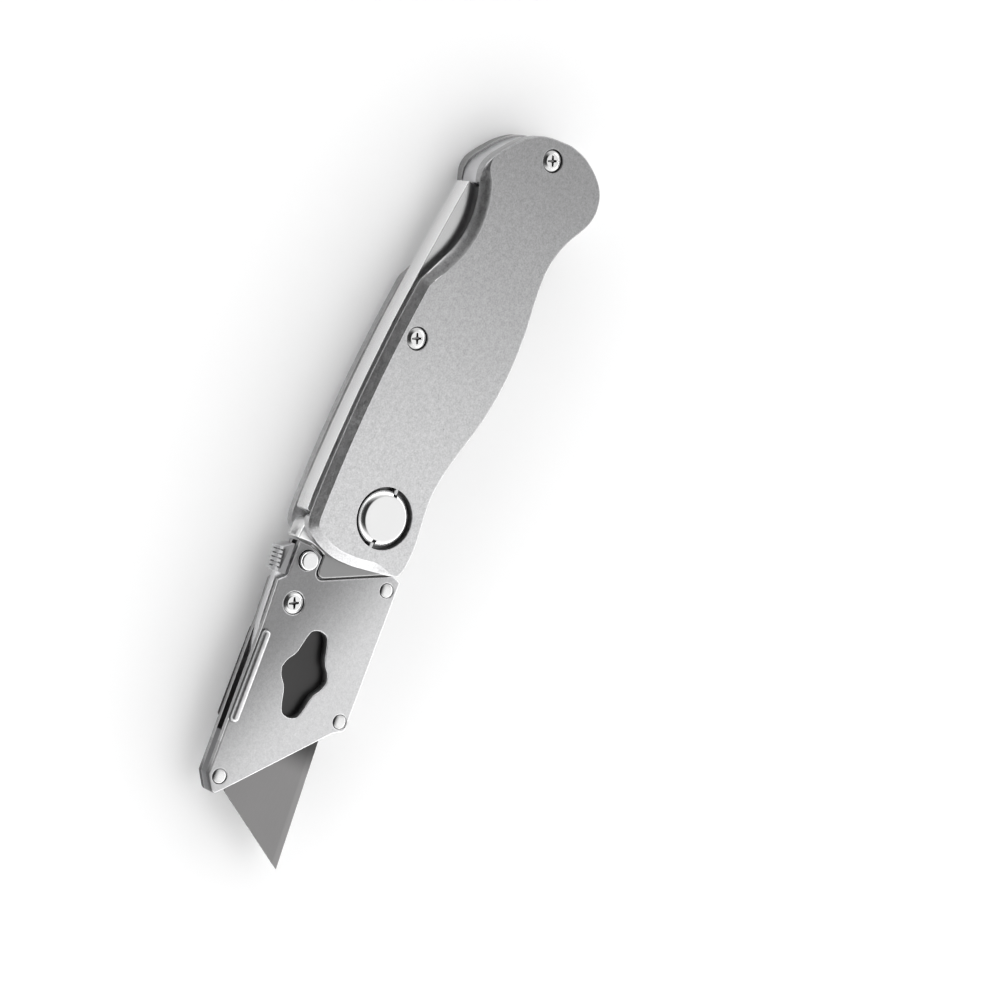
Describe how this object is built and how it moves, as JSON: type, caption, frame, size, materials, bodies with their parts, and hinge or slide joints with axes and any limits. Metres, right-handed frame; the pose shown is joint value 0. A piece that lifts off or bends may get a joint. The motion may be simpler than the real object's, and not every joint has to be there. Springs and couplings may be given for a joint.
{
  "type": "utility knife",
  "caption": "Folding lock-back utility knife, open: two metal scales, spine lock bar, plate carrier with thumb pad release and a trapezoid blade.",
  "frame": {"origin": "on the fold pivot's axis, at the outer face of the back scale, on which the knife lies", "axes": "+X along the handle towards the blade, +Y towards the cutting-edge side, +Z out of the front scale"},
  "size_m": [0.1755, 0.0347, 0.0128],
  "materials": {
    "scales": "bead-blasted, with a clear anodised skin",
    "spacer": "satin",
    "lock_steel": "ground and brushed lengthwise",
    "tang_steel": "satin",
    "plates": "stamped stainless sheet, fine satin",
    "inner_steel": "plain stamped steel",
    "bright_steel": "nickel plated",
    "lever_steel": "satin",
    "blade_steel": "ground carbon steel",
    "spring_steel": "tempered",
    "bronze": "plain"
  },
  "bodies": {
    "handle": {"front_scale": "scales", "back_scale": "scales", "tail_spacer": "spacer", "scale_screws": "bright_steel", "lock_sleeve": "inner_steel", "lock_spring": "spring_steel", "pivot_barrel": "bright_steel", "pivot_screw": "bright_steel", "pivot_washers": "bronze"},
    "lock_bar": {"lock_bar": "lock_steel"},
    "blade_carrier": {"tang": "tang_steel", "front_plate": "plates", "back_plate": "plates", "edge_spacer": "inner_steel", "nose_spacer": "inner_steel", "carrier_rivets": "bright_steel", "thumb_stud": "bright_steel", "stud_nut": "bright_steel", "lever_screw": "bright_steel", "lever_bush": "bronze", "lever_spring": "spring_steel"},
    "release_lever": {"release_lever": "lever_steel"},
    "blade_catch": {"blade_catch": "spring_steel"},
    "blade": {"utility_blade": "blade_steel"}
  },
  "joints": [
    {"name": "blade_fold", "type": "hinge", "parent": "handle", "child": "blade_carrier", "pos_m": [0, 0, 0.0062], "axis": [0, 0, 1], "range_deg": [0, 170]},
    {"name": "lock_bar_rock", "type": "hinge", "parent": "handle", "child": "lock_bar", "pos_m": [-0.0388, -0.012, 0.0062], "axis": [0, 0, -1], "range_deg": [0, 4.5], "stiffness_Nm_per_rad": 1, "springref_deg": -5.73, "deforming": ["lock_spring"]},
    {"name": "release_lever_press", "type": "hinge", "parent": "blade_carrier", "child": "release_lever", "pos_m": [0.0256, -0.00968, 0.0062], "axis": [0, 0, -1], "range_deg": [0, 4], "stiffness_Nm_per_rad": 0.2, "springref_deg": -5.73, "deforming": ["lever_spring"]},
    {"name": "catch_snap", "type": "hinge", "parent": "release_lever", "child": "blade_catch", "pos_m": [0.03793, -0.01044, 0.0062], "axis": [0, 0, -1], "range_deg": [0, 4], "stiffness_Nm_per_rad": 0.1, "springref_deg": -2.86},
    {"name": "blade_draw", "type": "slide", "parent": "blade_carrier", "child": "blade", "axis": [-0.9905, -0.1374, 0], "range_m": [-0.035, 0], "deforming": ["blade_catch"]}
  ]
}
